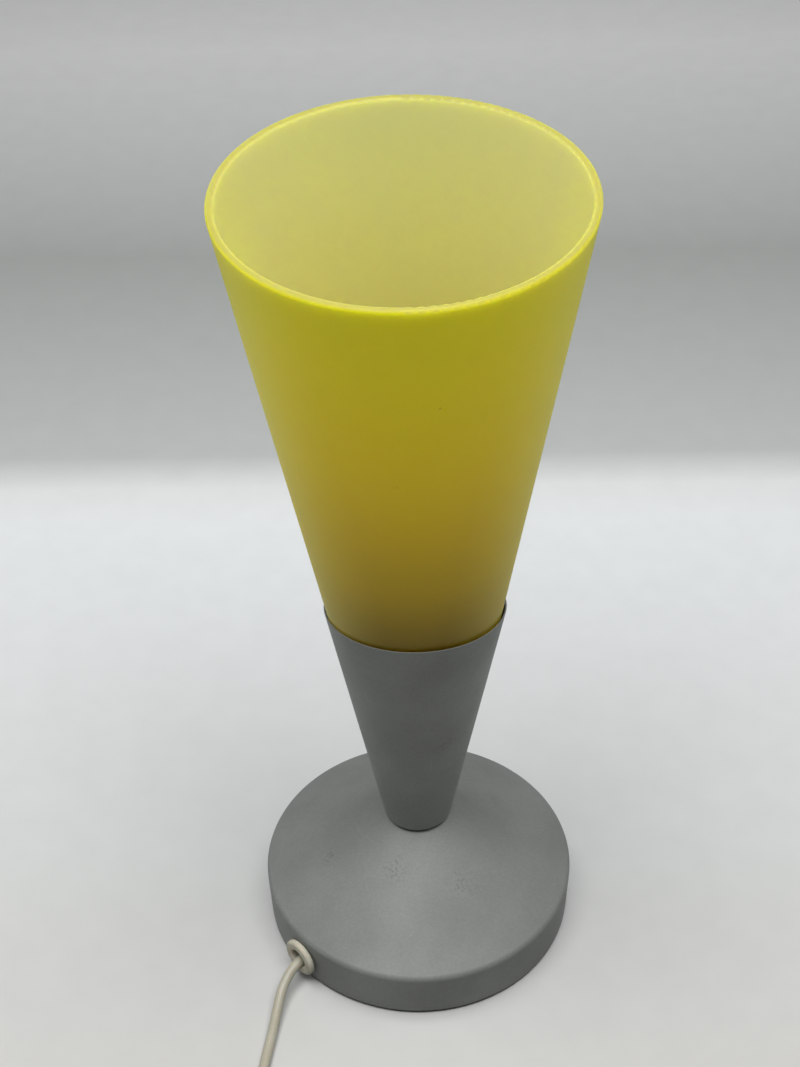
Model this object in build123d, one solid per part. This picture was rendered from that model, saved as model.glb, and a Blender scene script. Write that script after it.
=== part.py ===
from build123d import *
import math
import os

# Small table lamp: a frosted glass cone stands in a tapered metal stem on a round weighted base.
# Millimetres, +Z up. The origin is on the floor, under the middle of the base.
# -Y is the front. The mains cord leaves the side of the base at the front left.

# Base shell: pressed steel, a low cone on a short side wall
base_top_r = 71.2        # side wall at its top edge
base_flare = 0.9         # how much narrower the side wall is at its lower rim
base_edge_z = 25.6       # where side wall and cone would meet without the rounding
base_edge_round = 3.0
hub_z = 60.6             # flat land that carries the stem
shell_t = 1.2

# Felt, bottom plate and counterweight
felt_t = 1.7
felt_inset = 0.8         # how far the felt's edge stays inside the plate's
plate_t = 1.0
plate_gap = 0.5          # between the plate's edge and the shell
rim_over_felt = 0.2
weight_side_gap = 2.7    # between the weight's side and the shell
weight_rim_w = 12.4      # width of the heavy rim
weight_lift = 0.5        # between the plate and the weight
web_z = 14.0             # underside of the weight's thin middle
web_t = 8.0
weight_gap = 0.3         # between the weight's shoulder and the shell
cord_slot_w = 17.0
plate_screw_inset = 6.4  # from the weight's side to the plate screws
plate_screw_count = 3
plate_screw_r = 1.5
plate_screw_len = 8.0
plate_screw_end_gap = 0.5
plate_screw_head_r = 2.6

# Hollow threaded rod that clamps base, weight and stem together
rod_r = 5.0
rod_bore_r = 3.5
rod_low_z = 6.4
rod_high_z = 131.0
rod_fit = 0.15
washer_w = 5.0           # washer's edge outside the rod
washer_t = 1.5
nut_flat = 2.0           # nut's flat outside the rod
nut_t = 4.5
spacer_inset = 1.6
spacer_t = 1.0

# Stem: thin spun metal cone, open at the collar
stem_foot_r = 15.25
stem_overhang = 1.05     # of the stem's foot over the shell's flat land
stem_collar_r = 40.12
stem_collar_z = 200.7    # top of the slanted collar, at the front
stem_collar_drop = 20.0  # how much lower the collar is at the back
stem_t = 0.6
stem_floor_t = 1.2
stem_foot_round = 2.0

# Glass shade
glass_rim_z = 391.4
glass_rim_r = 71.4
glass_depth = 28.4       # how deep the glass stands in the stem
glass_gap = 0.61         # between the glass and the collar
glass_foot_gap = 0.4     # least gap between the glass's foot and the stem
glass_t = 3.3
glass_rim_round = 1.3
glass_lean = 0.6         # degrees; the loose glass leans a little to the left
seat_t = 1.5
seat_past_glass = 4.76   # how far the ledge reaches inside the glass
gasket_t = 1.5
gasket_past_glass = 2.16
gasket_gap = 0.83        # between the gasket and the stem
seat_gap = 0.3

# Lampholder, small Edison screw; its heights count from the seat on the rod's end
holder_on_rod = 7.0      # length of rod inside the holder
holder_r = 14.2
holder_cap_h = 18.0
holder_h = 44.0
holder_wall = 1.6
holder_boss_wall = 3.0
holder_boss_h = 7.0
insert_r = 10.6
insert_lift = 15.0
insert_t = 7.0
terminal_r = 1.4
terminal_out = 6.0
terminal_proud = 2.4
terminal_len = 6.0
terminal_end_gap = 0.4
shell_bore_r = 7.35
screw_shell_t = 0.4
contact_t = 0.5
contact_w = 3.0

# Bulb
bulb_seat = 4.0          # from the insert's top face up to the bulb's contact
bulb_cap_r = 7.0
bulb_cap_h = 18.0
bulb_cap_wall = 0.4
bulb_contact_h = 1.0
bulb_tip_h = 3.0
bulb_neck_r = 9.0
bulb_ball_r = 22.5
bulb_height = 78.0
bulb_glass_t = 0.8
filament_drop = 8.0      # from the ball's middle down to the glass mount's top
filament_half = 7.0
filament_rise = 9.0
filament_r = 0.35

# Cord: round two-core flex, and the rubber grommet that it leaves by
cord_d = 4.6
core_d = 2.0
core_spread = 1.15       # each core's distance from the middle, side by side
core_above_rod = 0.8     # where the cores part above the rod
core_rise = 2.6
jacket_past_clamp = 3.0
exit_angle = -139.0      # degrees round the base, from +X
exit_z = 12.6
grommet_flange_r = 9.0
grommet_hole_r = 4.5
grommet_neck_r = 6.4
grommet_lip_t = 3.0
clamp_r = 41.0           # distance of the cord clamp from the axis
clamp_w = 9.0
clamp_half = 9.5
clamp_t = 2.0
clamp_screw_y = 6.6
clamp_screw_r = 1.2
clamp_screw_bite = 6.0
clamp_screw_end_gap = 0.5
clamp_screw_head_r = 2.3
clamp_screw_head_t = 1.6

# In-line switch
switch_x = -1.0
switch_y = -133.5
switch_len = 60.0
switch_w = 22.0
switch_split_z = 8.6
switch_top_z = 17.0
switch_wall = 1.6
switch_cord_z = 6.8
switch_post_out = 19.0
switch_post_side = 5.6
switch_post_r = 3.2
switch_screw_r = 1.2
switch_screw_bite = 3.6
switch_head_r = 2.1
switch_head_z = 0.4
switch_head_t = 1.1
rocker_half = 8.4
rocker_w = 9.0
rocker_pivot_z = 13.6
rocker_tilt = 10.0       # degrees each side of level
rocker_gap = 0.6
rocker_pin_r = 0.9
ear_t = 2.0
ear_w = 5.0

# Put-away coil and the plug
coil_x = 72.0
coil_y = -168.0
coil_mid_r = 27.6
coil_columns = 4
coil_floor = 0.6
tie_angle = 12.0
tie_w = 5.0
tie_t = 0.6
tie_gap = 0.25
plug_x = 22.0            # where the cord enters the strain relief
plug_y = -185.0
plug_relief_len = 22.0
plug_relief_gap = 1.0    # between the relief's thin end and where the cord enters
plug_len = 36.0
plug_w = 35.3
plug_t = 13.7
pin_r = 2.0
pin_len = 19.0
pin_root = 7.0           # length of pin inside the plug
pin_spacing = 19.0
sleeve_len = 9.0
sleeve_step = 0.2        # from the bare tip down to the sleeve, in radius
sleeve_t = 0.35

touch = 0.02             # clearance of faces that meet

# Sizes that follow from the ones above
pin_sleeve_r = pin_r - sleeve_step
pin_shank_r = pin_sleeve_r - sleeve_t
base_foot_r = base_top_r - base_flare
base_rim_z = felt_t + rim_over_felt
hub_r = stem_foot_r - stem_overhang
plate_r = base_foot_r - shell_t - plate_gap
plate_z = felt_t
weight_r = base_foot_r - shell_t - weight_side_gap
weight_rim_r = weight_r - weight_rim_w
weight_z = plate_z + plate_t + weight_lift
stem_z = hub_z + spacer_t
holder_z = rod_high_z - holder_on_rod
holder_split_z = holder_z + holder_cap_h
holder_top_z = holder_z + holder_h
insert_z = holder_z + insert_lift
insert_top_z = insert_z + insert_t
bulb_tip_z = insert_top_z + bulb_seat
bulb_cap_z = bulb_tip_z + bulb_tip_h
bulb_neck_z = bulb_cap_z + bulb_cap_h
ball_z = bulb_tip_z + bulb_height - bulb_ball_r
mount_top_z = ball_z - filament_drop
inner_cord_z = web_z - cord_d / 2        # the clamp holds the cord up against the weight
clamp_low_z = inner_cord_z - cord_d / 2 - clamp_t
coil_half_w = coil_columns * cord_d / 2
coil_two_layers = coil_floor + 2 * cord_d
coil_in_r = coil_mid_r - coil_half_w
coil_out_r = coil_mid_r + coil_half_w


def ring_line(points):
    """Closed outline in the XZ plane from (radius, height) points."""
    return Polyline(*[(r, 0, z) for r, z in points], close=True)


def turned(*points):
    """A solid of revolution about Z from (radius, height) points."""
    return revolve(make_face(ring_line(points)), Axis.Z)


def ring(r_in, r_out, z_low, z_high):
    return turned((r_in, z_low), (r_out, z_low), (r_out, z_high), (r_in, z_high))


def disc(r, z_low, z_high):
    return Pos(0, 0, z_low) * Cylinder(r, z_high - z_low, align=(Align.CENTER, Align.CENTER, Align.MIN))


def hex_nut(across_flats, r_in, z_low, z_high):
    hexagon = RegularPolygon(across_flats / 2, 6, major_radius=False)
    blank = Pos(0, 0, z_low) * extrude(hexagon, z_high - z_low)
    return blank - disc(r_in, z_low - 1, z_high + 1)


def around(count, radius, start=0.0):
    """Places evenly spaced on a circle."""
    step = 360 / count
    return [Rot(0, 0, start + i * step) * Pos(radius, 0, 0) for i in range(count)]


def group(solids):
    return Compound(children=list(solids))


def round_edge(solid, radius, r, z):
    """Rounds the circular edges of radius r at height z."""
    wanted = [
        e for e in solid.edges().filter_by(GeomType.CIRCLE)
        if abs(e.radius - r) < 0.01 and abs(e.arc_center.Z - z) < 0.01
    ]
    return fillet(wanted, radius)


# ---------- base ----------

cone_run = base_top_r - hub_r
cone_slope = (hub_z - base_edge_z) / cone_run
cone_drop = shell_t * math.sqrt(1 + cone_slope**2)   # vertical thickness of the sloping shell


def shell_inside_z(r):
    """Height of the shell's inside face at a radius on the cone."""
    return base_edge_z + (base_top_r - r) * cone_slope - cone_drop


def base_shell():
    outer = turned(
        (0, base_rim_z), (base_foot_r, base_rim_z), (base_top_r, base_edge_z), (hub_r, hub_z), (0, hub_z)
    )
    outer = round_edge(outer, base_edge_round, base_top_r, base_edge_z)
    inner_top_r = base_top_r - shell_t
    inner_hub_r = hub_r - shell_t * 0.3
    inner = turned(
        (0, base_rim_z - 1),
        (base_foot_r - shell_t, base_rim_z - 1),
        (inner_top_r, shell_inside_z(inner_top_r)),
        (inner_hub_r, hub_z - shell_t),
        (0, hub_z - shell_t),
    )
    inner = round_edge(inner, base_edge_round - shell_t, inner_top_r, shell_inside_z(inner_top_r))
    shell = outer - inner - disc(rod_r + rod_fit, hub_z - 5, hub_z + 1)
    return shell - on_exit_line(base_top_r, exit_z) * Rot(0, 90, 0) * Cylinder(grommet_neck_r + touch, 30)


def on_exit_line(radius, z):
    """A place on the radial line of the cord's exit, with its X axis pointing outwards."""
    return Rot(0, 0, exit_angle) * Pos(radius, 0, z)


wall_slope = (base_top_r - base_foot_r) / (base_edge_z - base_rim_z)


def wall_r(z):
    """Outside radius of the side wall at a height."""
    return base_foot_r + (z - base_rim_z) * wall_slope


def counterweight():
    shoulder_z = shell_inside_z(weight_r) - weight_gap
    rise_r = (weight_r + weight_rim_r) / 2
    body = turned(
        (rod_r + rod_fit, web_z),
        (weight_rim_r, web_z),
        (weight_rim_r, weight_z),
        (weight_r, weight_z),
        (weight_r, shoulder_z),
        (rise_r, shell_inside_z(rise_r) - weight_gap),
        (rise_r - 6, web_z + web_t),
        (rod_r + rod_fit, web_z + web_t),
    )
    slot_top = exit_z + grommet_neck_r + 3.0
    slot_reach = weight_rim_w + 7.0
    body -= on_exit_line(weight_r, slot_top / 2) * Box(2 * slot_reach, cord_slot_w, slot_top)
    for place in plate_screw_places():
        body -= place * disc(plate_screw_r + touch, weight_z - 1, weight_z + plate_screw_len)
    for place in clamp_screw_places():
        body -= place * disc(clamp_screw_r + touch, web_z - 1, web_z + clamp_screw_bite)
    return body


def plate_screw_places():
    return around(plate_screw_count, weight_r - plate_screw_inset, exit_angle + 180 / plate_screw_count)


def clamp_screw_places():
    return [Rot(0, 0, exit_angle) * Pos(clamp_r, side * clamp_screw_y, 0) for side in (-1, 1)]


def felt_pad():
    return disc(plate_r - felt_inset, 0, felt_t)


def bottom_plate():
    plate = disc(plate_r, plate_z, plate_z + plate_t)
    for place in plate_screw_places():
        plate -= place * plate_screw_cone(touch)
        plate -= place * disc(plate_screw_r + touch, plate_z, plate_z + plate_t)
    return plate


def plate_screw_cone(extra):
    """Countersunk head, flush with the plate's underside."""
    return turned(
        (0, plate_z),
        (plate_screw_head_r + extra, plate_z),
        (plate_screw_r + extra, plate_z + plate_t),
        (0, plate_z + plate_t),
    )


def plate_screws():
    top = weight_z + plate_screw_len - plate_screw_end_gap
    screw = plate_screw_cone(0) + disc(plate_screw_r, plate_z + plate_t / 2, top)
    return group(place * screw for place in plate_screw_places())


def cord_grommet():
    """Rubber ring in the wall: a rolled outer lip, a neck through the wall and a thin inner flange."""
    outside = wall_r(exit_z) + 0.5
    inside = wall_r(exit_z) - shell_t - 0.6
    neck = ring(grommet_hole_r, grommet_neck_r, inside - 1.6, outside + 0.4)
    flange = ring(grommet_hole_r, grommet_flange_r - 1.4, inside - 1.6, inside)
    lip = ring(grommet_hole_r, grommet_flange_r, outside, outside + grommet_lip_t)
    lip = round_edge(lip, 1.4, grommet_flange_r, outside + grommet_lip_t)
    lip = round_edge(lip, 1.2, grommet_hole_r, outside + grommet_lip_t)
    lip = round_edge(lip, 1.0, grommet_flange_r, outside)
    body = neck + flange + lip
    return on_exit_line(0, exit_z) * Rot(0, 90, 0) * body


def cord_clamp():
    """Plastic saddle that holds the cord's jacket up against the weight."""
    bar = Pos(0, 0, (clamp_low_z + web_z) / 2) * Box(clamp_w, 2 * clamp_half, web_z - touch - clamp_low_z)
    bar -= Pos(0, 0, inner_cord_z) * Rot(0, 90, 0) * Cylinder(cord_d / 2 + touch, clamp_w + 2)
    groove_h = web_z + 1 - inner_cord_z
    bar -= Pos(0, 0, inner_cord_z + groove_h / 2) * Box(clamp_w + 2, cord_d + 2 * touch, groove_h)
    for side in (-1, 1):
        bar -= Pos(0, side * clamp_screw_y, 0) * disc(clamp_screw_r + touch, clamp_low_z - 1, web_z)
    return Rot(0, 0, exit_angle) * Pos(clamp_r, 0, 0) * bar


def clamp_screws():
    head = disc(clamp_screw_head_r, clamp_low_z - clamp_screw_head_t, clamp_low_z - touch)
    top = web_z + clamp_screw_bite - clamp_screw_end_gap
    screw = head + disc(clamp_screw_r, clamp_low_z - clamp_screw_head_t / 2, top)
    return group(place * screw for place in clamp_screw_places())


# ---------- rod, stem and seat ----------

def threaded_rod():
    return ring(rod_bore_r, rod_r, rod_low_z, rod_high_z)


def lower_washer():
    return ring(rod_r + rod_fit, rod_r + washer_w, web_z - washer_t, web_z)


def lower_nut():
    return hex_nut(2 * (rod_r + nut_flat), rod_r, web_z - washer_t - nut_t, web_z - washer_t)


stem_slope = (stem_collar_r - stem_foot_r) / (stem_collar_z - stem_z)


def stem_inside_r(z):
    return stem_foot_r + (z - stem_z) * stem_slope - stem_t * math.sqrt(1 + stem_slope**2)


def foot_spacer():
    return ring(rod_r + rod_fit, hub_r - spacer_inset, hub_z, stem_z)


def stem_cone():
    over = stem_collar_z + 5
    over_r = stem_collar_r + (over - stem_collar_z) * stem_slope
    outer = turned((0, stem_z), (stem_foot_r, stem_z), (over_r, over), (0, over))
    outer = round_edge(outer, stem_foot_round, stem_foot_r, stem_z)
    floor_z = stem_z + stem_floor_t
    knee_z = floor_z + stem_floor_t
    inner = turned(
        (0, floor_z),
        (stem_inside_r(floor_z) - stem_floor_t, floor_z),
        (stem_inside_r(knee_z), knee_z),
        (stem_inside_r(over), over),
        (0, over),
    )
    slant = math.degrees(math.atan2(stem_collar_drop, 2 * stem_collar_r))
    block = Box(6 * stem_collar_r, 6 * stem_collar_r, 2 * stem_collar_z)
    above = Pos(0, -stem_collar_r, stem_collar_z) * Rot(-slant, 0, 0) * Pos(0, 0, stem_collar_z) * block
    return outer - inner - above - disc(rod_r + rod_fit, stem_z - 1, floor_z + 1)


def stem_washer():
    low = stem_z + stem_floor_t
    return ring(rod_r + rod_fit, stem_inside_r(low) - 3.0, low, low + washer_t)


def stem_nut():
    low = stem_z + stem_floor_t + washer_t
    return hex_nut(2 * (rod_r + nut_flat), rod_r, low, low + nut_t)


glass_collar_r = stem_inside_r(stem_collar_z) - glass_gap
glass_low_z = stem_collar_z - glass_depth
glass_foot_r = stem_inside_r(glass_low_z) - glass_foot_gap
glass_slope = max(                       # the glass clears both the collar and the stem round its foot
    (glass_rim_r - glass_collar_r) / (glass_rim_z - stem_collar_z),
    (glass_rim_r - glass_foot_r) / (glass_rim_z - glass_low_z),
)
glass_low_r = glass_rim_r - (glass_rim_z - glass_low_z) * glass_slope
lean_drop = glass_low_r * math.sin(math.radians(glass_lean))   # of the leaning glass's lower side
seat_z = glass_low_z - lean_drop - seat_gap - gasket_t - seat_t


def glass_seat_ring():
    """Pressed ledge welded inside the stem, which carries the glass."""
    top = seat_z + seat_t
    bore_r = glass_low_r - glass_t - seat_past_glass
    return turned(
        (bore_r, seat_z),
        (stem_inside_r(seat_z) - touch, seat_z),
        (stem_inside_r(top) - touch, top),
        (bore_r, top),
    )


def seat_gasket():
    low = seat_z + seat_t
    bore_r = glass_low_r - glass_t - gasket_past_glass
    return ring(bore_r, stem_inside_r(low) - gasket_gap, low, low + gasket_t)


# ---------- glass shade ----------

def glass_shade():
    shade = turned(
        (glass_low_r - glass_t, glass_low_z),
        (glass_low_r, glass_low_z),
        (glass_rim_r, glass_rim_z),
        (glass_rim_r - glass_t, glass_rim_z),
    )
    shade = round_edge(shade, glass_rim_round, glass_rim_r, glass_rim_z)
    shade = round_edge(shade, glass_rim_round, glass_rim_r - glass_t, glass_rim_z)
    return Pos(0, 0, glass_low_z) * Rot(0, -glass_lean, 0) * Pos(0, 0, -glass_low_z) * shade


# ---------- lampholder ----------

def holder_cap():
    """Lower half of the lampholder, screwed on to the rod."""
    boss_r = rod_r + holder_boss_wall
    return turned(
        (rod_r + touch, holder_z - holder_boss_h),
        (boss_r, holder_z - holder_boss_h),
        (boss_r, holder_z),
        (holder_r - 2.0, holder_z),
        (holder_r, holder_z + 2.0),
        (holder_r, holder_split_z),
        (holder_r - holder_wall, holder_split_z),
        (holder_r - holder_wall, holder_z + holder_wall * 2),
        (rod_r + touch, holder_z + holder_wall * 2),
    )


def holder_skirt():
    """Upper half of the lampholder, whose lower sleeve screws into the cap."""
    sleeve_r = holder_r - holder_wall - 0.1
    sleeve_z = holder_split_z - 5.0
    return turned(
        (sleeve_r - holder_wall, sleeve_z),
        (sleeve_r, sleeve_z),
        (sleeve_r, holder_split_z + touch),
        (holder_r, holder_split_z + touch),
        (holder_r - 0.8, holder_top_z - 1.0),
        (holder_r - 1.8, holder_top_z),
        (shell_bore_r + 1.4, holder_top_z),
        (shell_bore_r + 1.4, holder_top_z - 2.0),
        (sleeve_r - holder_wall, holder_top_z - 4.0),
    )


def holder_insert():
    """Ceramic core between the two halves."""
    core = disc(insert_r, insert_z, insert_z + insert_t)
    hole_top = insert_z - terminal_proud + terminal_len + terminal_end_gap
    for place in terminal_places():
        core -= place * disc(terminal_r + touch, insert_z - 1, hole_top)
    return core


def terminal_places():
    return [Rot(0, 0, exit_angle) * Pos(0, side * terminal_out, 0) for side in (-1, 1)]


def terminal_screws():
    low = insert_z - terminal_proud
    post = disc(terminal_r, low, low + terminal_len)
    return group(place * post for place in terminal_places())


def screw_shell():
    outer_r = shell_bore_r + screw_shell_t
    floor = ring(4.0, outer_r, insert_top_z, insert_top_z + 0.5)
    return floor + ring(shell_bore_r, outer_r, insert_top_z, holder_top_z - 3.0)


def centre_contact():
    stand = (Align.CENTER, Align.CENTER, Align.MIN)
    foot = Pos(0, 0, insert_top_z) * Box(5.0, contact_w, contact_t, align=stand)
    riser = Pos(-2.2, 0, insert_top_z) * Box(0.6, contact_w, bulb_seat - 1.0, align=stand)
    tongue = Pos(0, 0, insert_top_z + bulb_seat - 1.4) * Box(5.0, contact_w, contact_t, align=stand)
    return foot + riser + tongue


# ---------- bulb ----------

insulator_top_z = bulb_cap_z + 1.2
bulb_join_r = bulb_ball_r * 0.82         # where the straight flank meets the ball


def bulb_side(inset):
    """Half outline of the bulb's glass, moved in by the wall's thickness."""
    r = bulb_ball_r - inset
    join_z = ball_z - math.sqrt(r**2 - (bulb_join_r - inset) ** 2)
    top = ThreePointArc((bulb_join_r - inset, 0, join_z), (r, 0, ball_z), (0, 0, ball_z + r))
    flank = Line((bulb_neck_r - inset, 0, bulb_neck_z), (bulb_join_r - inset, 0, join_z))
    return flank, top, join_z, r


def bulb_envelope():
    outer_flank, outer_top, _, outer_r = bulb_side(0)
    inner_flank, inner_top, _, inner_r = bulb_side(bulb_glass_t)
    low = Line((bulb_neck_r, 0, bulb_neck_z), (bulb_neck_r - bulb_glass_t, 0, bulb_neck_z))
    high = Line((0, 0, ball_z + outer_r), (0, 0, ball_z + inner_r))
    face = make_face(Wire([outer_flank, outer_top, high, inner_top, inner_flank, low]))
    return revolve(face, Axis.Z)


def bulb_cap():
    wall = bulb_cap_wall
    return turned(
        (bulb_cap_r - wall, bulb_cap_z),
        (bulb_cap_r, bulb_cap_z),
        (bulb_cap_r, bulb_neck_z - 2.5),
        (bulb_neck_r, bulb_neck_z - touch),
        (bulb_neck_r - wall, bulb_neck_z - touch),
        (bulb_cap_r - wall, bulb_neck_z - 2.3),
    )


def bulb_insulator():
    low = bulb_tip_z + bulb_contact_h
    edge_r = bulb_cap_r - bulb_cap_wall
    return turned((2.5, low), (edge_r, bulb_cap_z), (edge_r, insulator_top_z), (0, insulator_top_z), (0, low))


def bulb_contact():
    top = bulb_tip_z + bulb_contact_h
    return turned((0, bulb_tip_z), (1.6, bulb_tip_z), (2.4, top), (0, top))


def bulb_stem():
    """Glass mount inside the bulb, from the insulator up to the filament's supports."""
    return turned(
        (0, insulator_top_z),
        (2.2, insulator_top_z),
        (2.2, bulb_neck_z),
        (3.4, bulb_neck_z + 6.0),
        (1.4, mount_top_z - 4.0),
        (1.4, mount_top_z),
        (0, mount_top_z),
    )


def bulb_filament():
    """Two support wires with the filament strung between them."""
    low = mount_top_z + 0.2
    high = low + filament_rise
    left = [(-1.1, 0, low), (-filament_half, 0, high)]
    right = [(filament_half, 0, high), (1.1, 0, low)]
    path = FilletPolyline(*left, (0, 0, high + 2.5), *right, radius=1.2)
    return sweep_round(path, filament_r)


# ---------- cords ----------

def sweep_round(path, radius):
    """A round bar along a path of straight runs and tangent arcs."""
    start = Plane(origin=path @ 0, z_dir=path % 0)
    return sweep(start * Circle(radius), path=path)


def corner_radii(points):
    """For each corner of a route, 0.45 of its shorter run over the tangent of half the turn."""
    p = [Vector(*q) for q in points]
    radii = []
    for a, b, c in zip(p, p[1:], p[2:]):
        half_turn = math.radians((b - a).get_angle(c - b)) / 2
        radii.append(0.45 * min((b - a).length, (c - b).length) / math.tan(half_turn))
    return radii


def tube(points, diameter, name):
    radii = corner_radii(points)
    path = FilletPolyline(*points, radius=radii)
    solid = sweep_round(path, diameter / 2)
    ideal = math.pi * diameter**2 / 4 * path.length
    print(f"{name}: length {path.length:.1f}, volume ratio {solid.volume / ideal:.4f}, "
          f"radii in diameters {[round(r / diameter, 1) for r in radii]}")
    return solid


inner_cord_out = (-46.4, -40.35, inner_cord_z)   # where the cord inside the base meets the free cord

lamp_side_route = [
    inner_cord_out,
    (-56.3, -48.96, inner_cord_z),
    (-62.9, -60.0, 7.6),
    (-65.4, -73.4, 3.7),
    (-67.5, -86.4, 2.4),
    (-69.9, -99.5, 2.32),
    (-70.2, -110.3, 2.3),
    (-66.1, -121.0, 2.45),
    (-58.0, -129.1, 3.2),
    (-47.3, -133.5, 4.8),
    (switch_x - switch_len / 2, switch_y, switch_cord_z),
]

switch_side_route = [
    (switch_x + switch_len / 2, switch_y, switch_cord_z),
    (41.0, -133.6, 5.2),
    (52.0, -133.8, 3.3),
    (62.0, -133.5, 2.9),
]

plug_side_route = [
    (51.0, -193.4, 12.4),
    (42.5, -188.6, 11.3),
    (33.0, -185.4, 7.9),
    (plug_x, plug_y, plug_t / 2),
]


def cord_lamp_side():
    return tube(lamp_side_route, cord_d, "cord, lamp to switch")


def cord_switch_side():
    return tube(switch_side_route, cord_d, "cord, switch to coil")


def cord_plug_side():
    return tube(plug_side_route, cord_d, "cord, coil to plug")


def coil_outline(extra=0.0):
    """Outline of the wound bundle in (radius, height): two full layers and one turn on top."""
    top_turn_r = coil_out_r - cord_d
    top_z = coil_two_layers + cord_d * 0.87   # the upper turn lies in the groove between two others
    return [
        (coil_in_r - extra, coil_floor - extra),
        (coil_out_r + extra, coil_floor - extra),
        (coil_out_r + extra, coil_two_layers + extra),
        (top_turn_r + cord_d / 2 + extra, top_z + extra),
        (top_turn_r - cord_d / 2 - extra, top_z + extra),
        (top_turn_r - cord_d - extra, coil_two_layers + extra),
        (coil_in_r - extra, coil_two_layers + extra),
    ]


def cord_coil():
    return Pos(coil_x, coil_y, 0) * turned(*coil_outline())


def cord_tie():
    """Band round the wound bundle, at the side away from the plug."""
    outer = extrude(make_face(ring_line(coil_outline(tie_t))), tie_w / 2, both=True)
    inner = extrude(make_face(ring_line(coil_outline(tie_gap))), tie_w, both=True)
    return Pos(coil_x, coil_y, 0) * Rot(0, 0, tie_angle) * (outer - inner)


def inner_lead():
    """Jacketed end of the cord inside the base, held by the clamp."""
    reach = math.hypot(inner_cord_out[0], inner_cord_out[1])
    inner_end = clamp_r - clamp_w / 2 - jacket_past_clamp
    bar = Rot(0, 90, 0) * Cylinder(cord_d / 2, reach - inner_end)
    turn = math.degrees(math.atan2(inner_cord_out[1], inner_cord_out[0]))
    return Rot(0, 0, turn) * Pos((reach + inner_end) / 2, 0, inner_cord_z) * bar


def core_wire(side):
    """One insulated core, from the jacket's end down under the rod, up its bore and out to a terminal."""
    start_r = clamp_r - clamp_w / 2 - jacket_past_clamp
    spread = side * core_spread
    under_rod_z = rod_low_z - core_d
    line = [
        (start_r, spread, inner_cord_z),
        (start_r - 6.0, spread, inner_cord_z),
        (start_r - 18.0, spread, under_rod_z),
        (0.0, spread, under_rod_z),
        (0.0, spread, rod_high_z + core_above_rod),
        (0.0, side * terminal_out, rod_high_z + core_above_rod + core_rise),
        (0.0, side * terminal_out, insert_z - terminal_proud - touch),
    ]
    path = FilletPolyline(*line, radius=[6.0, 6.0, 3.6, 2.0, 1.5])
    return Rot(0, 0, exit_angle) * sweep_round(path, core_d / 2)


# ---------- in-line switch ----------

def switch_blank(inset, z_low, z_high):
    plan = SlotOverall(switch_len - 2 * inset, switch_w - 2 * inset)
    return Pos(switch_x, switch_y, z_low) * extrude(plan, z_high - z_low)


def along_switch(z, r):
    return Pos(switch_x, switch_y, z) * Rot(0, 90, 0) * Cylinder(r, switch_len + 10)


def switch_lower_shell():
    body = switch_blank(0, 0, switch_split_z)
    body = fillet(body.faces().sort_by(Axis.Z)[0].edges(), 2.0)
    body -= switch_blank(switch_wall, switch_wall, switch_split_z + 1)
    body -= along_switch(switch_cord_z, cord_d / 2 + touch)
    for place in switch_post_places():
        body += place * disc(switch_post_r, switch_wall / 2, switch_split_z)
        body -= place * disc(switch_screw_r + 0.1, -1, switch_split_z + 1)
        body -= place * disc(switch_head_r + 0.2, -1, switch_head_z + switch_head_t + touch)
    return body


def switch_post_places():
    """The two screw posts, one each side of the cord's way in at either end."""
    return [Pos(switch_x + side * switch_post_out, switch_y + side * switch_post_side, 0) for side in (-1, 1)]


def at_pivot():
    """The rocker's pivot, with its Z axis along the pin."""
    return Pos(switch_x, switch_y, rocker_pivot_z) * Rot(90, 0, 0)


def switch_upper_shell():
    body = switch_blank(0, switch_split_z + touch, switch_top_z)
    body = fillet(body.faces().sort_by(Axis.Z)[-1].edges(), 3.0)
    body -= switch_blank(switch_wall, switch_split_z - 1, switch_top_z - switch_wall)
    body -= along_switch(switch_cord_z, cord_d / 2 + touch)
    opening = Box(2 * (rocker_half + rocker_gap + 0.7), rocker_w + 2 * rocker_gap, 10)
    body -= Pos(switch_x, switch_y, switch_top_z) * opening
    ear_low = rocker_pivot_z - 2.1
    ear_high = switch_top_z - switch_wall + 0.1
    for side in (-1, 1):
        ear_y = switch_y + side * (rocker_w / 2 + rocker_gap + 1.2)
        body += Pos(switch_x, ear_y, (ear_low + ear_high) / 2) * Box(ear_w, ear_t, ear_high - ear_low)
    body -= at_pivot() * Cylinder(rocker_pin_r + touch, rocker_w + 8)
    for place in switch_post_places():
        body += place * disc(switch_post_r, switch_split_z + touch, switch_top_z - switch_wall / 2)
        hole_top = switch_split_z + switch_screw_bite + 0.4
        body -= place * disc(switch_screw_r + touch, switch_split_z - 1, hole_top)
    return body


def switch_screws():
    head = disc(switch_head_r, switch_head_z, switch_head_z + switch_head_t)
    screw = head + disc(switch_screw_r, switch_head_z + switch_head_t / 2, switch_split_z + switch_screw_bite)
    return group(place * screw for place in switch_post_places())


def switch_rocker():
    side = Polyline(
        (-rocker_half, 0, 4.4), (0, 0, 2.8), (rocker_half, 0, 4.4), (rocker_half + 0.2, 0, -1.2),
        (3.0, 0, -2.6), (-3.0, 0, -2.6), (-rocker_half - 0.2, 0, -1.2), close=True,
    )
    body = extrude(make_face(side), rocker_w / 2, both=True, dir=(0, 1, 0))
    body -= Rot(90, 0, 0) * Cylinder(rocker_pin_r + 0.05, rocker_w + 2)
    return Pos(switch_x, switch_y, rocker_pivot_z) * Rot(0, -rocker_tilt, 0) * body


def rocker_pin():
    length = rocker_w + 2 * rocker_gap + 2 * ear_t
    return at_pivot() * Cylinder(rocker_pin_r, length)


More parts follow.
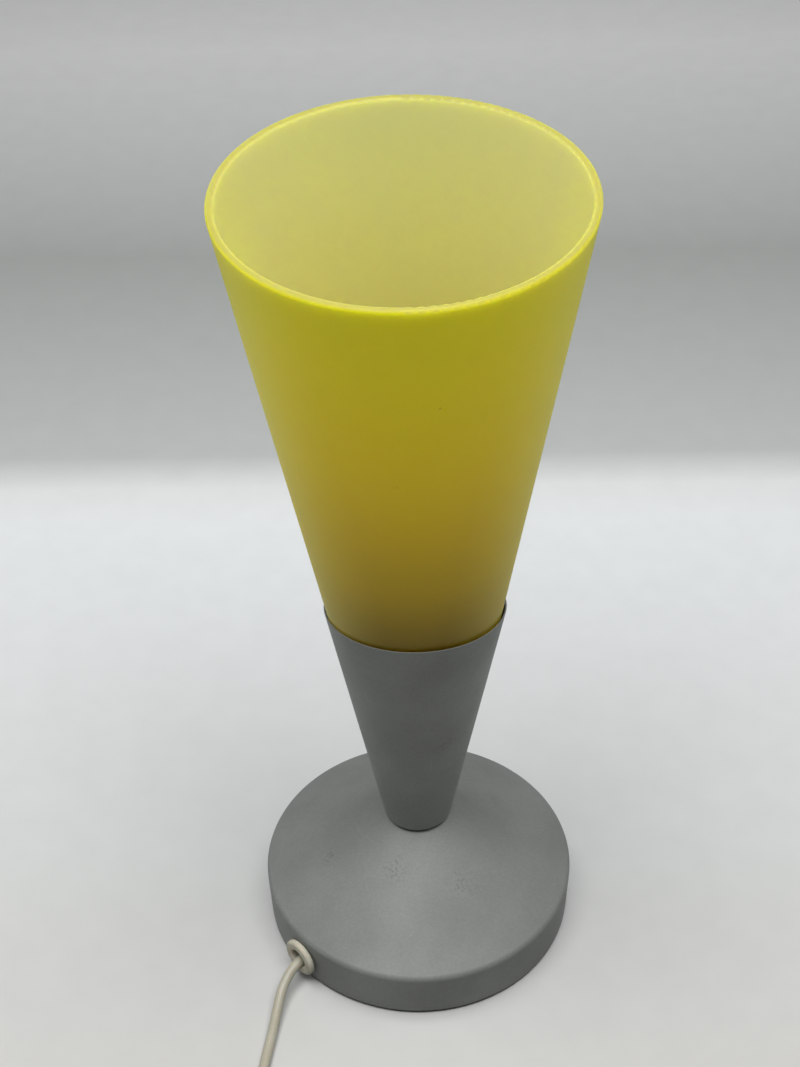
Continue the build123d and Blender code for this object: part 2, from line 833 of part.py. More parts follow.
def switch_contacts():
    """Two brass strips on the floor of the switch, each under one end of the rocker."""
    strip = Box(10.0, 4.0, 0.8) + Pos(-3.0, 0, 2.0) * Box(1.0, 4.0, 4.0)
    low = switch_wall + 0.4
    left = Pos(switch_x - 8.0, switch_y + 4.5, low) * Rot(0, 0, 180)
    right = Pos(switch_x + 8.0, switch_y - 4.5, low)
    return group([left * strip, right * strip])


# ---------- plug ----------

def plug_relief():
    """Tapered strain relief moulded on the cord's end."""
    bore_r = cord_d / 2 + touch
    thin_end = plug_relief_gap - plug_relief_len
    taper = turned((bore_r, thin_end), (3.2, thin_end), (4.8, 0), (bore_r, 0))
    return Pos(plug_x - plug_relief_len, plug_y, plug_t / 2) * Rot(0, -90, 0) * taper


def plug_body():
    half = plug_w / 2
    side = [(0, 5.4), (8.0, 8.2), (plug_len - 12.0, half), (plug_len, half)]
    plan = Polyline(*[(x, -y) for x, y in side], *reversed(side), close=True)
    body = extrude(make_face(plan), plug_t)
    body = fillet(body.edges().filter_by(Axis.Z), 2.0)
    flat_faces = body.faces().sort_by(Axis.Z)
    body = chamfer(flat_faces[-1].edges() + flat_faces[0].edges(), 1.6)
    bore = Rot(0, 90, 0) * Cylinder(pin_sleeve_r + touch, 16.0)
    for side in (-1, 1):
        body -= Pos(plug_len, side * pin_spacing / 2, plug_t / 2) * bore
    body = Rot(0, 0, 180) * body
    return Pos(plug_x - plug_relief_len, plug_y, 0) * body


def pin_places():
    face_x = plug_x - plug_relief_len - plug_len
    return [Pos(face_x, plug_y + side * pin_spacing / 2, plug_t / 2) * Rot(0, -90, 0) for side in (-1, 1)]


def plug_pins():
    """Round pins: a bare tip, and a thinner shank inside the sleeve and the body."""
    tip_z = pin_len - 1.0
    shank = disc(pin_shank_r, -pin_root, sleeve_len + 1)
    low = sleeve_len + touch
    tip = turned((0, low), (pin_r, low), (pin_r, tip_z), (pin_r - 0.8, pin_len), (0, pin_len))
    return group(place * (shank + tip) for place in pin_places())


def pin_sleeves():
    sleeve = ring(pin_shank_r + touch, pin_sleeve_r, 1 - pin_root, sleeve_len)
    return group(place * sleeve for place in pin_places())


parts = {
    "base_shell": base_shell,
    "counterweight": counterweight,
    "bottom_plate": bottom_plate,
    "plate_screws": plate_screws,
    "felt_pad": felt_pad,
    "cord_grommet": cord_grommet,
    "cord_clamp": cord_clamp,
    "clamp_screws": clamp_screws,
    "inner_lead": inner_lead,
    "live_core": lambda: core_wire(1),
    "neutral_core": lambda: core_wire(-1),
    "threaded_rod": threaded_rod,
    "lower_washer": lower_washer,
    "lower_nut": lower_nut,
    "foot_spacer": foot_spacer,
    "stem_cone": stem_cone,
    "stem_washer": stem_washer,
    "stem_nut": stem_nut,
    "glass_seat_ring": glass_seat_ring,
    "seat_gasket": seat_gasket,
    "glass_shade": glass_shade,
    "holder_cap": holder_cap,
    "holder_insert": holder_insert,
    "terminal_screws": terminal_screws,
    "screw_shell": screw_shell,
    "centre_contact": centre_contact,
    "holder_skirt": holder_skirt,
    "bulb_envelope": bulb_envelope,
    "bulb_cap": bulb_cap,
    "bulb_insulator": bulb_insulator,
    "bulb_contact": bulb_contact,
    "bulb_stem": bulb_stem,
    "bulb_filament": bulb_filament,
    "cord_lamp_side": cord_lamp_side,
    "switch_lower_shell": switch_lower_shell,
    "switch_upper_shell": switch_upper_shell,
    "switch_rocker": switch_rocker,
    "rocker_pin": rocker_pin,
    "switch_contacts": switch_contacts,
    "switch_screws": switch_screws,
    "cord_switch_side": cord_switch_side,
    "cord_coil": cord_coil,
    "cord_tie": cord_tie,
    "cord_plug_side": cord_plug_side,
    "plug_relief": plug_relief,
    "plug_body": plug_body,
    "plug_pins": plug_pins,
    "pin_sleeves": pin_sleeves,
}

os.makedirs("parts", exist_ok=True)
for name, make in parts.items():
    export_step(make(), f"parts/{name}.step")
    print("wrote", name)
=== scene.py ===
import math

import bpy
from mathutils import Matrix, Vector


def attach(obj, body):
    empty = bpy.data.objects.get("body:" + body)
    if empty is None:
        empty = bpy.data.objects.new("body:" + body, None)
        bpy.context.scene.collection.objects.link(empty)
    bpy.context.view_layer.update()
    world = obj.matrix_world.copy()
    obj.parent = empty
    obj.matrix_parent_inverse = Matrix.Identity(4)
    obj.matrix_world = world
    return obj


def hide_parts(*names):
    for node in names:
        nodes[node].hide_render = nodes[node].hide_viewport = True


# Table lamp: frosted yellow glass cone in a silver painted metal stem on a round base.
# Metres, as the frame has them. Sizes named ...Mm are millimetres.

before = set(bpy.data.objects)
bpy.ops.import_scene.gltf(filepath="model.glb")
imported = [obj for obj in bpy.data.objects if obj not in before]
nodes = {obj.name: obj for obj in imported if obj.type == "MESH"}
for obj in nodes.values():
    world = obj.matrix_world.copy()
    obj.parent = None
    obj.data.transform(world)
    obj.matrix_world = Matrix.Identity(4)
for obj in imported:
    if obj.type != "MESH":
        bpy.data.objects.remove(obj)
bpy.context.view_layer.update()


def mm(*values):
    scaled = [v / 1000 for v in values]
    return scaled[0] if len(scaled) == 1 else tuple(scaled)


def perMetre(sizeMm):
    return 1000 / sizeMm  # texture scale that gives features of this size


def linear(code):
    channels = [int(code[i:i + 2], 16) / 255 for i in (1, 3, 5)]
    return [c / 12.92 if c <= 0.04045 else ((c + 0.055) / 1.055) ** 2.4 for c in channels] + [1.0]


def addNode(tree, kind, inputs=None, **settings):
    node = tree.nodes.new(kind)
    for key, value in settings.items():
        setattr(node, key, value)
    for key, value in (inputs or {}).items():
        if isinstance(value, bpy.types.NodeSocket):
            tree.links.new(value, node.inputs[key])
        else:
            node.inputs[key].default_value = value
    return node


# ---- camera

cameraPlace = {
    "lensMm": 71.46,
    "backMm": 645.0,      # in front of the lamp's axis
    "heightMm": 803.4,
    "yaw": -0.009,
    "pitch": 0.727,       # looking down, radians
    "roll": -0.019,
}


def addCamera(settings):
    yaw, pitch, roll = settings["yaw"], settings["pitch"], settings["roll"]
    forward = Vector((math.sin(yaw) * math.cos(pitch), math.cos(yaw) * math.cos(pitch), -math.sin(pitch)))
    right = Vector((math.cos(yaw), -math.sin(yaw), 0))
    up = right.cross(forward)
    sideways = math.cos(roll) * right + math.sin(roll) * up
    upwards = math.cos(roll) * up - math.sin(roll) * right
    turn = Matrix((sideways, upwards, -forward)).transposed().to_4x4()
    data = bpy.data.cameras.new("camera")
    data.lens = settings["lensMm"]
    data.sensor_width = 36.0
    data.sensor_fit = "AUTO"
    data.clip_start = 0.01
    data.clip_end = 50.0
    camera = bpy.data.objects.new("camera", data)
    camera.matrix_world = Matrix.Translation(mm(0, -settings["backMm"], settings["heightMm"])) @ turn
    bpy.context.scene.collection.objects.link(camera)
    bpy.context.scene.camera = camera


addCamera(cameraPlace)
print("camera placed")


# ---- cords

flex = {
    "diameterMm": 4.6,
    "lampSideMm": [
        (-46.4, -40.35, 11.7), (-56.3, -48.96, 11.7), (-62.9, -60.0, 7.6), (-65.4, -73.4, 3.7),
        (-67.5, -86.4, 2.4), (-69.9, -99.5, 2.32), (-70.2, -110.3, 2.3), (-66.1, -121.0, 2.45),
        (-58.0, -129.1, 3.2), (-47.3, -133.5, 4.8), (-31.0, -133.5, 6.8),
    ],
    "switchSideMm": [(29.0, -133.5, 6.8), (41.0, -133.6, 5.2), (52.0, -133.8, 3.3), (62.0, -133.5, 2.9)],
    "plugSideMm": [(51.0, -193.4, 12.4), (42.5, -188.4, 11.9), (33.0, -185.4, 7.9), (22.0, -185.0, 6.85)],
}

coil = {
    "centreMm": (72.0, -168.0),
    "floorMm": 0.6,
    "innerMm": 20.7,          # centreline of the innermost turn
    "columns": 4,
    "pointsPerTurn": 16,
    "startAngle": 90.0,       # degrees; the turns run clockwise seen from above
    "crossing": 0.17,         # share of a turn in which it moves over to the next place
    "lastTurn": 0.5625,       # how much of the top turn is there
}


def ease(share):
    return share * share * (3 - 2 * share)


def coilPoints(settings, d):
    # (radius, height) places of the turns: inwards on the floor, outwards on top, then one in a groove
    low = settings["floorMm"] + d / 2
    inward = [settings["innerMm"] + d * i for i in reversed(range(settings["columns"]))]
    places = [(r, low) for r in inward] + [(r, low + d) for r in reversed(inward)]
    places.append((inward[0] - d / 2, low + d + d * math.sqrt(0.75)))
    perTurn = settings["pointsPerTurn"]
    inset = 0.75 + 0.25 * math.cos(2 * math.pi / perTurn)   # the curve runs this much inside its points
    centreX, centreY = settings["centreMm"]
    points = []
    for index, (radius, height) in enumerate(places):
        last = index == len(places) - 1
        steps = round(perTurn * settings["lastTurn"]) + 1 if last else perTurn
        for step in range(steps):
            share = step / perTurn
            r, z = radius, height
            if not last and share > 1 - settings["crossing"]:
                nextR, nextZ = places[index + 1]
                move = ease((share - 1 + settings["crossing"]) / settings["crossing"])
                r = radius + (nextR - radius) * move
                if nextZ > height:   # climbs over the turn that moves into its own place
                    beside = places[index - 1][0] + (radius - places[index - 1][0]) * move
                    z = height + math.sqrt(max(d * d - (r - beside) ** 2, 0))
            angle = math.radians(settings["startAngle"] - 360 * share)
            points.append((centreX + r / inset * math.cos(angle), centreY + r / inset * math.sin(angle), z))
    return points


def addCord(name, points, diameterMm):
    curve = bpy.data.curves.new(name, "CURVE")
    curve.dimensions = "3D"
    curve.bevel_depth = 1.0   # the points carry the radius, so that the curve's own box is true
    curve.bevel_resolution = 5
    curve.use_fill_caps = True
    spline = curve.splines.new("NURBS")
    spline.points.add(len(points) - 1)
    for place, point in zip(spline.points, points):
        place.co = (*mm(*point), 1)
        place.radius = mm(diameterMm) / 2
    spline.order_u = 3
    spline.use_endpoint_u = True
    spline.resolution_u = 10
    cord = bpy.data.objects.new(name, curve)
    bpy.context.scene.collection.objects.link(cord)
    return cord


lampCord = addCord("cordLampToSwitch", flex["lampSideMm"], flex["diameterMm"])
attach(lampCord, "lamp")
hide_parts("cord_lamp_side")

plugRoute = flex["switchSideMm"] + coilPoints(coil, flex["diameterMm"]) + flex["plugSideMm"]
plugCord = addCord("cordSwitchToPlug", plugRoute, flex["diameterMm"])
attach(plugCord, "lamp")
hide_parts("cord_switch_side", "cord_coil", "cord_plug_side")
print("cords laid")


# ---- materials

def newMaterial(name):
    material = bpy.data.materials.new(name)
    material.use_nodes = True
    tree = material.node_tree
    return material, tree, tree.nodes["Principled BSDF"]


def objectPlace(tree):
    return addNode(tree, "ShaderNodeTexCoord").outputs["Object"]


def mixColours(tree, share, first, second, **settings):
    node = addNode(tree, "ShaderNodeMix", {0: share, 6: first, 7: second}, data_type="RGBA", **settings)
    return node.outputs[2]


def tinted(tree, colour, amount):
    grey = addNode(tree, "ShaderNodeCombineColor", {0: amount, 1: amount, 2: amount}).outputs[0]
    return mixColours(tree, 1.0, colour, grey, blend_type="MULTIPLY")


def remap(tree, value, fromLow, fromHigh, toLow, toHigh):
    limits = {"Value": value, "From Min": fromLow, "From Max": fromHigh, "To Min": toLow, "To Max": toHigh}
    return addNode(tree, "ShaderNodeMapRange", limits).outputs["Result"]


def twoTones(tree, pattern, first, second):
    return mixColours(tree, remap(tree, pattern, 0.35, 0.65, 0, 1), linear(first), linear(second))


def unevenRoughness(tree, shader, pattern, middle):
    rough = remap(tree, pattern, 0.3, 0.7, middle - 0.04, middle + 0.05)
    tree.links.new(rough, shader.inputs["Roughness"])


def noise(tree, place, sizeMm, detail=2.0):
    inputs = {"Vector": place, "Scale": perMetre(sizeMm), "Detail": detail}
    return addNode(tree, "ShaderNodeTexNoise", inputs).outputs["Fac"]


def bump(tree, shader, height, depthMm, strength):
    inputs = {"Height": height, "Distance": mm(depthMm), "Strength": strength}
    tree.links.new(addNode(tree, "ShaderNodeBump", inputs).outputs["Normal"], shader.inputs["Normal"])


def multiply(tree, first, second):
    return addNode(tree, "ShaderNodeMath", {0: first, 1: second}, operation="MULTIPLY").outputs[0]


def larger(tree, first, second):
    return addNode(tree, "ShaderNodeMath", {0: first, 1: second}, operation="MAXIMUM").outputs[0]


def toneAlong(tree, value, tones):
    # tones are (place along value, colour), in rising order
    start, end = tones[0][0], tones[-1][0]
    ramp = addNode(tree, "ShaderNodeValToRGB", {0: remap(tree, value, start, end, 0, 1)})
    stops = ramp.color_ramp.elements
    for index, (at, tone) in enumerate(tones):
        share = (at - start) / (end - start)
        stop = stops[index] if index < 2 else stops.new(share)
        stop.position, stop.color = share, linear(tone)
    return ramp.outputs["Color"]


def spot(tree, place, centreMm, radiusMm):
    inputs = {0: place, 1: mm(*centreMm)}
    far = addNode(tree, "ShaderNodeVectorMath", inputs, operation="DISTANCE").outputs["Value"]
    return remap(tree, far, 0, mm(radiusMm), 1, 0)


silverPaint = {
    "colour": "#989B98",
    "cloudy": "#8E918E",
    "scratch": "#B4B7B4",
    "rub": "#5F5D58",
    "flakeMm": 0.7,           # aluminium flake is 0.05 mm; drawn coarser so that it shows
    "flakeTint": (0.95, 1.04),
    "cloudMm": 38,
    "peelMm": 1.4,            # orange peel of a sprayed coat
    "peelDepthMm": 0.05,
    "peelRelief": 0.35,
    "scratchCellMm": 26,
    "scratchWidthMm": 0.22,
    "scratchShare": 0.22,
    "scratchPatchMm": 17,
    "scratchRelief": -0.6,
    "speckleMm": 1.3,         # the rubs break up into specks of this size
    "rubShare": 0.5,
    "metallic": 0.15,
    "roughness": 0.6,
    "rubsMm": [((12.3, -24.4, 129.3), 5.0), ((19.8, -32.9, 45.0), 9.0), ((-40.5, -14.4, 43.0), 6.0),
               ((-10.5, -27.8, 51.0), 8.0), ((38.0, 20.0, 47.0), 7.0)],
}


def makeSilverPaint(look):
    # Aluminium lacquer sprayed on steel: a soft grey sheen with fine grain, hairline scratches, a few rubs
    material, tree, shader = newMaterial("aluminiumLacquerSprayed")
    place = objectPlace(tree)
    flakes = addNode(tree, "ShaderNodeTexVoronoi", {"Vector": place, "Scale": perMetre(look["flakeMm"])})
    grain = addNode(tree, "ShaderNodeSeparateColor", {0: flakes.outputs["Color"]}).outputs[0]
    clouds = noise(tree, place, look["cloudMm"], 4)
    colour = twoTones(tree, clouds, look["colour"], look["cloudy"])
    colour = tinted(tree, colour, remap(tree, grain, 0, 1, *look["flakeTint"]))
    edges = addNode(tree, "ShaderNodeTexVoronoi", {"Vector": place, "Scale": perMetre(look["scratchCellMm"])},
                    feature="DISTANCE_TO_EDGE").outputs["Distance"]
    width = look["scratchWidthMm"] / look["scratchCellMm"]
    patches = remap(tree, noise(tree, place, look["scratchPatchMm"]), 0.52, 0.6, 0, 1)
    hairlines = multiply(tree, remap(tree, edges, 0, width, 1, 0), patches)
    scratched = multiply(tree, hairlines, look["scratchShare"])
    colour = mixColours(tree, scratched, colour, linear(look["scratch"]))
    rubbed = 0.0
    for centre, radius in look["rubsMm"]:
        rubbed = larger(tree, spot(tree, place, centre, radius), rubbed)
    speckle = remap(tree, noise(tree, place, look["speckleMm"], 3), 0.52, 0.62, 0, 1)
    rubbed = multiply(tree, rubbed, speckle)
    colour = mixColours(tree, multiply(tree, rubbed, look["rubShare"]), colour, linear(look["rub"]))
    tree.links.new(colour, shader.inputs["Base Color"])
    shader.inputs["Metallic"].default_value = look["metallic"]
    unevenRoughness(tree, shader, clouds, look["roughness"])
    ripples = noise(tree, place, look["peelMm"])
    cuts = multiply(tree, hairlines, look["scratchRelief"])
    peel = addNode(tree, "ShaderNodeMath", {0: ripples, 1: cuts}, operation="ADD").outputs[0]
    bump(tree, shader, peel, look["peelDepthMm"], look["peelRelief"])
    return material


yellowGlass = {
    # (height in metres, colour), light and shade painted in: painted shade low down, painted light brightest
    # at the top, and the inner wall painted lighter than the outer
    "outside": [(0.200, "#85780D"), (0.238, "#BBAE12"), (0.300, "#E4D218"), (0.391, "#FFF01E")],
    "inside": [(0.200, "#B6AC50"), (0.391, "#F3EBA0")],
    "rim": "#A8A152",         # painted shade on faces that point up, the edge most of all: duller than the walls
    "paintedSheen": "#FFF668",        # painted sheen: the etched surface made paler where it is seen at a low angle
    "paintedSheenShare": 0.6,
    "speck": "#6B5B20",
    "etchMm": 0.6,            # acid etching is far finer; drawn coarser so that it shows
    "waveMm": 55,
    "etchDepthMm": 0.04,
    "etchRelief": 0.25,
    "speckCellMm": 34,
    "speckMm": 0.45,
    "speckShare": 0.5,
    "raggedMm": 0.9,          # grain of the specks' ragged outline
    "depthMm": (14, 11, 0.8),   # how far red, green and blue light travels in the glass
    "roughness": 0.55,
    "ior": 1.5,
    "shine": 0.25,            # etching breaks up most of the surface reflection
    "specksMm": [((-6.5, -55.8, 302.1), 1.4), ((9.8, -62.3, 342.8), 1.1)],
}


def makeYellowGlass(look):
    # Yellow soda glass, blown and acid etched. Deep subsurface scattering stands for light passing through;
    # light, shade and sheen are also painted into the colour.
    material, tree, shader = newMaterial("yellowGlassAcidEtched")
    place = objectPlace(tree)
    flat = addNode(tree, "ShaderNodeVectorMath", {0: place, 1: (1, 1, 0)}, operation="MULTIPLY")
    normal = addNode(tree, "ShaderNodeNewGeometry").outputs["Normal"]
    inputs = {0: flat.outputs["Vector"], 1: normal}
    facing = addNode(tree, "ShaderNodeVectorMath", inputs, operation="DOT_PRODUCT").outputs["Value"]
    inner = remap(tree, facing, 0.0, -0.01, 0, 1)   # facing is under zero on the inner wall
    height = addNode(tree, "ShaderNodeSeparateXYZ", {0: place}).outputs["Z"]
    # painted light and shade: each wall darker low down and brightest at the top, the inner wall lighter than
    # the outer
    tones = [toneAlong(tree, height, look[side]) for side in ("outside", "inside")]
    colour = mixColours(tree, inner, *tones)
    level = addNode(tree, "ShaderNodeSeparateXYZ", {0: normal}).outputs["Z"]
    # painted shade on faces that point up, mostly the rim and a little of the inner wall
    colour = mixColours(tree, remap(tree, level, 0.05, 0.95, 0, 1), colour, linear(look["rim"]))
    # painted sheen: paler colour where the surface is seen at a low angle
    slant = addNode(tree, "ShaderNodeLayerWeight", {"Blend": 0.5}).outputs["Facing"]
    colour = mixColours(tree, remap(tree, slant, 0.45, 1, 0, look["paintedSheenShare"]), colour, linear(look["paintedSheen"]))
    cells = addNode(tree, "ShaderNodeTexVoronoi", {"Vector": place, "Scale": perMetre(look["speckCellMm"])})
    size = look["speckMm"] / look["speckCellMm"]
    specks = remap(tree, cells.outputs["Distance"], size * 0.6, size, 1, 0)
    for centre, radius in look["specksMm"]:
        ragged = remap(tree, noise(tree, place, look["raggedMm"]), 0.45, 0.6, 0, 1)
        specks = larger(tree, multiply(tree, spot(tree, place, centre, radius), ragged), specks)
    colour = mixColours(tree, multiply(tree, specks, look["speckShare"]), colour, linear(look["speck"]))
    tree.links.new(colour, shader.inputs["Base Color"])
    shader.inputs["Roughness"].default_value = look["roughness"]
    shader.inputs["IOR"].default_value = look["ior"]
    shader.inputs["Specular IOR Level"].default_value = look["shine"]
    shader.inputs["Subsurface Weight"].default_value = 1.0
    shader.inputs["Subsurface Scale"].default_value = mm(1)
    shader.inputs["Subsurface Radius"].default_value = look["depthMm"]
    etched = noise(tree, place, look["etchMm"])
    wave = noise(tree, place, look["waveMm"])
    etching = addNode(tree, "ShaderNodeMath", {0: etched, 1: wave}, operation="ADD").outputs[0]
    bump(tree, shader, etching, look["etchDepthMm"], look["etchRelief"])
    return material


soakShare = 0.25   # subsurface weight of the looks that have a soakMm


def makePlain(name, look):
    # One recipe for moulded, cast, woven and plated surfaces, told apart by their numbers
    material, tree, shader = newMaterial(name)
    place = objectPlace(tree)
    patches = noise(tree, place, look.get("patchMm", 12), 4)
    colour = twoTones(tree, patches, look["colour"], look["second"])
    fine = noise(tree, place, look["grainMm"], look.get("detail", 3))
    tint = remap(tree, fine, 0.3, 0.7, 1 - look.get("contrast", 0.04), 1 + look.get("contrast", 0.04))
    tree.links.new(tinted(tree, colour, tint), shader.inputs["Base Color"])
    unevenRoughness(tree, shader, patches, look["roughness"])
    shader.inputs["Metallic"].default_value = look.get("metallic", 0.0)
    if "ior" in look:
        shader.inputs["IOR"].default_value = look["ior"]
    if "sheen" in look:
        shader.inputs["Sheen Weight"].default_value = look["sheen"]
    if "soakMm" in look:
        shader.inputs["Subsurface Weight"].default_value = soakShare
        shader.inputs["Subsurface Scale"].default_value = mm(look["soakMm"])
    bump(tree, shader, fine, look.get("reliefMm", 0.03), look.get("relief", 0.3))
    return material


clearGlass = {
    "colour": "#FBFCFC",
    "waveMm": 22,
    "waveDepthMm": 0.02,
    "waveRelief": 0.1,
    "roughness": 0.02,
    "ior": 1.5,
}


def makeClearGlass(look):
    # Blown soda glass, clear and thin, as a lamp bulb's
    material, tree, shader = newMaterial("clearGlassBlown")
    wave = noise(tree, objectPlace(tree), look["waveMm"])
    shader.inputs["Base Color"].default_value = linear(look["colour"])
    shader.inputs["Transmission Weight"].default_value = 1.0
    shader.inputs["Roughness"].default_value = look["roughness"]
    shader.inputs["IOR"].default_value = look["ior"]
    bump(tree, shader, wave, look["waveDepthMm"], look["waveRelief"])
    return material


plainLooks = {
    # soft PVC extruded over twisted cores: satin, a little uneven, hands have darkened it in places
    "pvcIvoryExtruded": {"colour": "#C8C4B2", "second": "#BFBAA5", "grainMm": 0.8, "patchMm": 16,
                         "roughness": 0.36, "ior": 1.52, "soakMm": 1.0, "relief": 0.25},
    # moulded rubber: duller than the cord, faintly yellowed
    "rubberIvoryMoulded": {"colour": "#E0DCCB", "second": "#D3CDB6", "grainMm": 0.7, "patchMm": 5,
                           "roughness": 0.5, "ior": 1.52, "soakMm": 0.8, "relief": 0.3},
    # ABS from a spark eroded mould: fine even texture
    "absIvoryMoulded": {"colour": "#DEDACB", "second": "#D6D1BF", "grainMm": 0.5, "patchMm": 20,
                        "roughness": 0.4, "ior": 1.53, "relief": 0.45},
    "nylonNaturalMoulded": {"colour": "#E4E1D7", "second": "#D9D5C8", "grainMm": 0.6, "patchMm": 6,
                            "roughness": 0.45, "ior": 1.53, "soakMm": 1.0},
    "pvcBrownExtruded": {"colour": "#5B3521", "second": "#4F2D1B", "grainMm": 0.6, "roughness": 0.38},
    "pvcBlueExtruded": {"colour": "#2B5FA8", "second": "#245292", "grainMm": 0.6, "roughness": 0.38},
    "rubberBlackMoulded": {"colour": "#262524", "second": "#2E2D2B", "grainMm": 0.6, "roughness": 0.62,
                           "relief": 0.5},
    # needled wool felt: short fibres lying all ways
    "feltBlackNeedled": {"colour": "#2A2826", "second": "#35322F", "grainMm": 0.9, "detail": 8,
                         "contrast": 0.3, "roughness": 0.92, "sheen": 0.4, "reliefMm": 0.4,
                         "relief": 0.8},
    # grey iron as cast in sand, oiled
    "greyIronSandCast": {"colour": "#57565A", "second": "#4A4744", "grainMm": 1.6, "detail": 6,
                         "contrast": 0.15, "metallic": 0.7, "roughness": 0.68, "reliefMm": 0.4,
                         "relief": 0.7},
    # zinc plating on turned or pressed steel: bluish, with patches of yellow
    "steelZincPlated": {"colour": "#C3C7CA", "second": "#C9C4B2", "grainMm": 0.5, "patchMm": 7,
                        "metallic": 1.0, "roughness": 0.34},
    "brassStamped": {"colour": "#D9B877", "second": "#C79F5A", "grainMm": 0.5, "patchMm": 5,
                     "metallic": 1.0, "roughness": 0.3},
    "brassNickelPlated": {"colour": "#CFCBC0", "second": "#C6C0B0", "grainMm": 0.5, "patchMm": 4,
                          "metallic": 1.0, "roughness": 0.24},
    "steatiteGlazed": {"colour": "#EAE6DA", "second": "#E2DDCD", "grainMm": 0.9, "patchMm": 9,
                       "roughness": 0.2, "ior": 1.55},
    "pbtWhiteMoulded": {"colour": "#E3E1DA", "second": "#DBD8CF", "grainMm": 0.5, "patchMm": 18,
                        "roughness": 0.4, "ior": 1.55, "relief": 0.4},
    "blackGlassPressed": {"colour": "#18171B", "second": "#201E24", "grainMm": 1.2, "roughness": 0.18,
                          "ior": 1.5},
    "tungstenDrawn": {"colour": "#6E6C6A", "second": "#5F5C59", "grainMm": 0.4, "metallic": 1.0,
                      "roughness": 0.4},
}

materials = {name: makePlain(name, look) for name, look in plainLooks.items()}
materials["aluminiumLacquerSprayed"] = makeSilverPaint(silverPaint)
materials["yellowGlassAcidEtched"] = makeYellowGlass(yellowGlass)
materials["clearGlassBlown"] = makeClearGlass(clearGlass)

finishes = {
    "aluminiumLacquerSprayed": ["base_shell", "stem_cone"],
    "yellowGlassAcidEtched": ["glass_shade"],
    "greyIronSandCast": ["counterweight"],
    "steelZincPlated": ["bottom_plate", "plate_screws", "clamp_screws", "threaded_rod", "lower_washer",
                        "lower_nut", "stem_washer", "stem_nut", "glass_seat_ring", "switch_screws",
                        "rocker_pin"],
    "feltBlackNeedled": ["felt_pad"],
    "rubberIvoryMoulded": ["cord_grommet", "plug_relief"],
    "nylonNaturalMoulded": ["cord_clamp", "cord_tie"],
    "pvcIvoryExtruded": ["inner_lead"],
    "absIvoryMoulded": ["switch_lower_shell", "switch_upper_shell", "switch_rocker", "plug_body"],
    "pvcBrownExtruded": ["live_core"],
    "pvcBlueExtruded": ["neutral_core"],
    "rubberBlackMoulded": ["foot_spacer", "seat_gasket", "pin_sleeves"],
    "pbtWhiteMoulded": ["holder_cap", "holder_skirt"],
    "steatiteGlazed": ["holder_insert"],
    "brassStamped": ["terminal_screws", "centre_contact", "switch_contacts"],
    "brassNickelPlated": ["screw_shell", "bulb_cap", "bulb_contact", "plug_pins"],
    "blackGlassPressed": ["bulb_insulator"],
    "clearGlassBlown": ["bulb_envelope", "bulb_stem"],
    "tungstenDrawn": ["bulb_filament"],
}

for finish, members in finishes.items():
    for member in members:
        for slot in nodes[member].material_slots:
            slot.material = materials[finish]
for cord in (lampCord, plugCord):
    cord.data.materials.append(materials["pvcIvoryExtruded"])
print("materials set")


# ---- floor, light and world

floorLook = {
    "reachM": 4.0,
    "mottleMm": 18,
    "mottle": 0.03,           # how much darker the paper's darkest patches are
    "roughness": 0.7,
    "shine": 0.2,
    "bounce": "#8E908F",      # what the floor gives back to the lamp's underside
    # tone along Y, in metres, with light and shade painted in: a pale sheet, painted darker in front and
    # brightest just behind the lamp, then a greyer backdrop, painted darkest near 0.54 m and lighter towards
    # the far end
    "tones": [(-0.40, "#CBC9C4"), (-0.12, "#DAD9D6"), (0.05, "#E4E7E6"), (0.27, "#F3F6F7"), (0.30, "#EFF1F1"),
              (0.33, "#C7CAC8"), (0.54, "#B6BAB7"), (0.82, "#FCFEFD")],
}


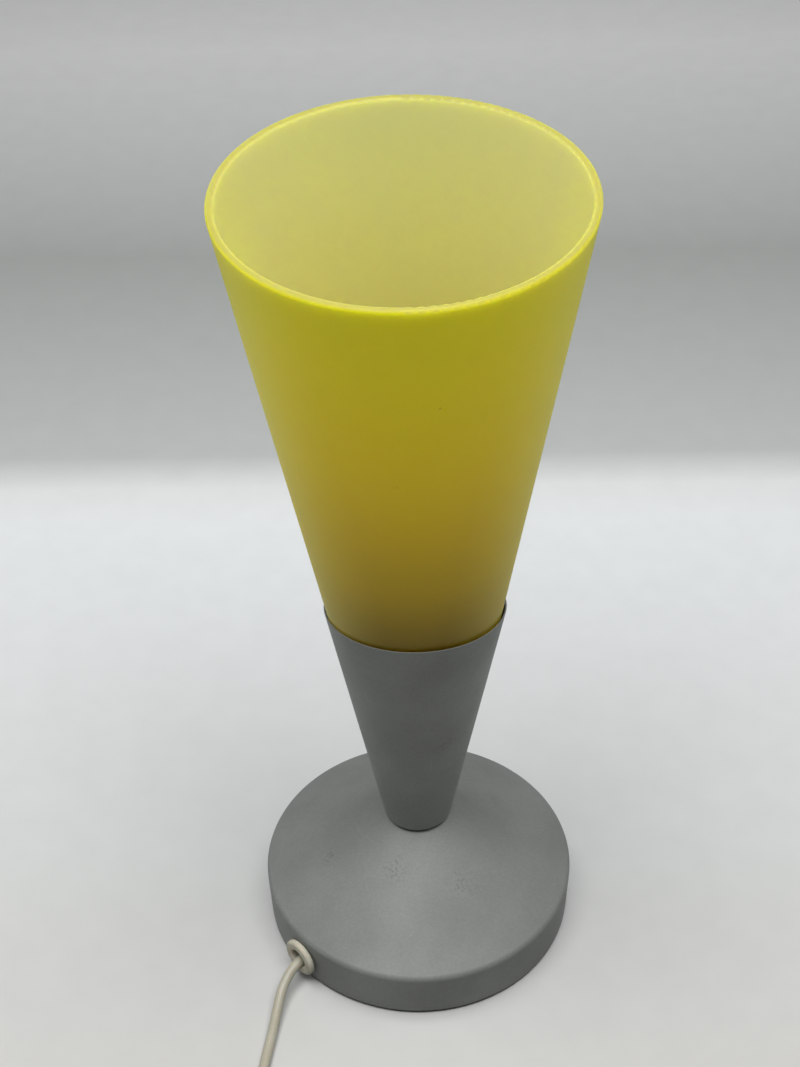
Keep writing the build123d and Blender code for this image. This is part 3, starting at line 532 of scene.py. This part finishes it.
def makeFloor(look):
    mesh = bpy.data.meshes.new("floor")
    reach = look["reachM"]
    corners = [(-reach, -reach, 0), (reach, -reach, 0), (reach, reach, 0), (-reach, reach, 0)]
    mesh.from_pydata(corners, [], [(0, 1, 2, 3)])
    floor = bpy.data.objects.new("floor", mesh)
    bpy.context.scene.collection.objects.link(floor)
    material, tree, shader = newMaterial("paperMatt")
    place = objectPlace(tree)
    y = addNode(tree, "ShaderNodeSeparateXYZ", {0: place}).outputs["Y"]
    # painted light and shade along Y; the paper's own mottle goes on top
    tone = toneAlong(tree, y, look["tones"])
    fibres = remap(tree, noise(tree, place, look["mottleMm"], 6), 0.3, 0.7, 1 - look["mottle"], 1)
    tone = tinted(tree, tone, fibres)
    rays = addNode(tree, "ShaderNodeLightPath").outputs
    direct = larger(tree, rays["Is Camera Ray"], rays["Is Glossy Ray"])
    seen = larger(tree, direct, rays["Is Transmission Ray"])
    tree.links.new(mixColours(tree, seen, linear(look["bounce"]), tone), shader.inputs["Base Color"])
    shader.inputs["Roughness"].default_value = look["roughness"]
    shader.inputs["Specular IOR Level"].default_value = look["shine"]
    mesh.materials.append(material)


def addSoftbox(name, placeM, aimM, sizeM, watts, colour):
    data = bpy.data.lights.new(name, "AREA")
    data.shape = "RECTANGLE"
    data.size, data.size_y = sizeM
    data.energy = watts
    data.color = linear(colour)[:3]
    box = bpy.data.objects.new(name, data)
    box.location = placeM
    box.rotation_euler = (Vector(aimM) - Vector(placeM)).to_track_quat("-Z", "Y").to_euler()
    bpy.context.scene.collection.objects.link(box)


softboxes = {
    # place, aim and size in metres, then watts and colour
    "softboxTop": ((0.0, -0.11, 1.25), (0.0, 0.0, 0.0), (1.2, 0.8), 17.4, "#FFFFFF"),
    "softboxRight": ((0.95, 0.05, 0.45), (0.0, 0.0, 0.12), (0.6, 0.8), 0.3, "#FFFFFF"),
    "softboxLeft": ((-0.95, 0.10, 0.45), (0.0, 0.0, 0.12), (0.6, 0.8), 0.8, "#FFFFFF"),
}

makeFloor(floorLook)
for name, settings in softboxes.items():
    addSoftbox(name, *settings)

worldLook = {"seen": "#BFC1BE", "light": "#FFFFFF", "strength": 0.05}


def makeWorld(look):
    world = bpy.data.worlds.new("studio")
    bpy.context.scene.world = world
    world.use_nodes = True
    tree = world.node_tree
    tree.nodes.clear()
    seen = addNode(tree, "ShaderNodeBackground", {"Color": linear(look["seen"]), "Strength": 1.0})
    glow = {"Color": linear(look["light"]), "Strength": look["strength"]}
    light = addNode(tree, "ShaderNodeBackground", glow)
    rays = addNode(tree, "ShaderNodeLightPath")
    parts = {0: rays.outputs["Is Camera Ray"], 1: light.outputs[0], 2: seen.outputs[0]}
    mix = addNode(tree, "ShaderNodeMixShader", parts)
    addNode(tree, "ShaderNodeOutputWorld", {"Surface": mix.outputs[0]})


makeWorld(worldLook)
bpy.context.scene.view_settings.view_transform = "Standard"
print("floor, lights and world set")

bpy.context.view_layer.update()
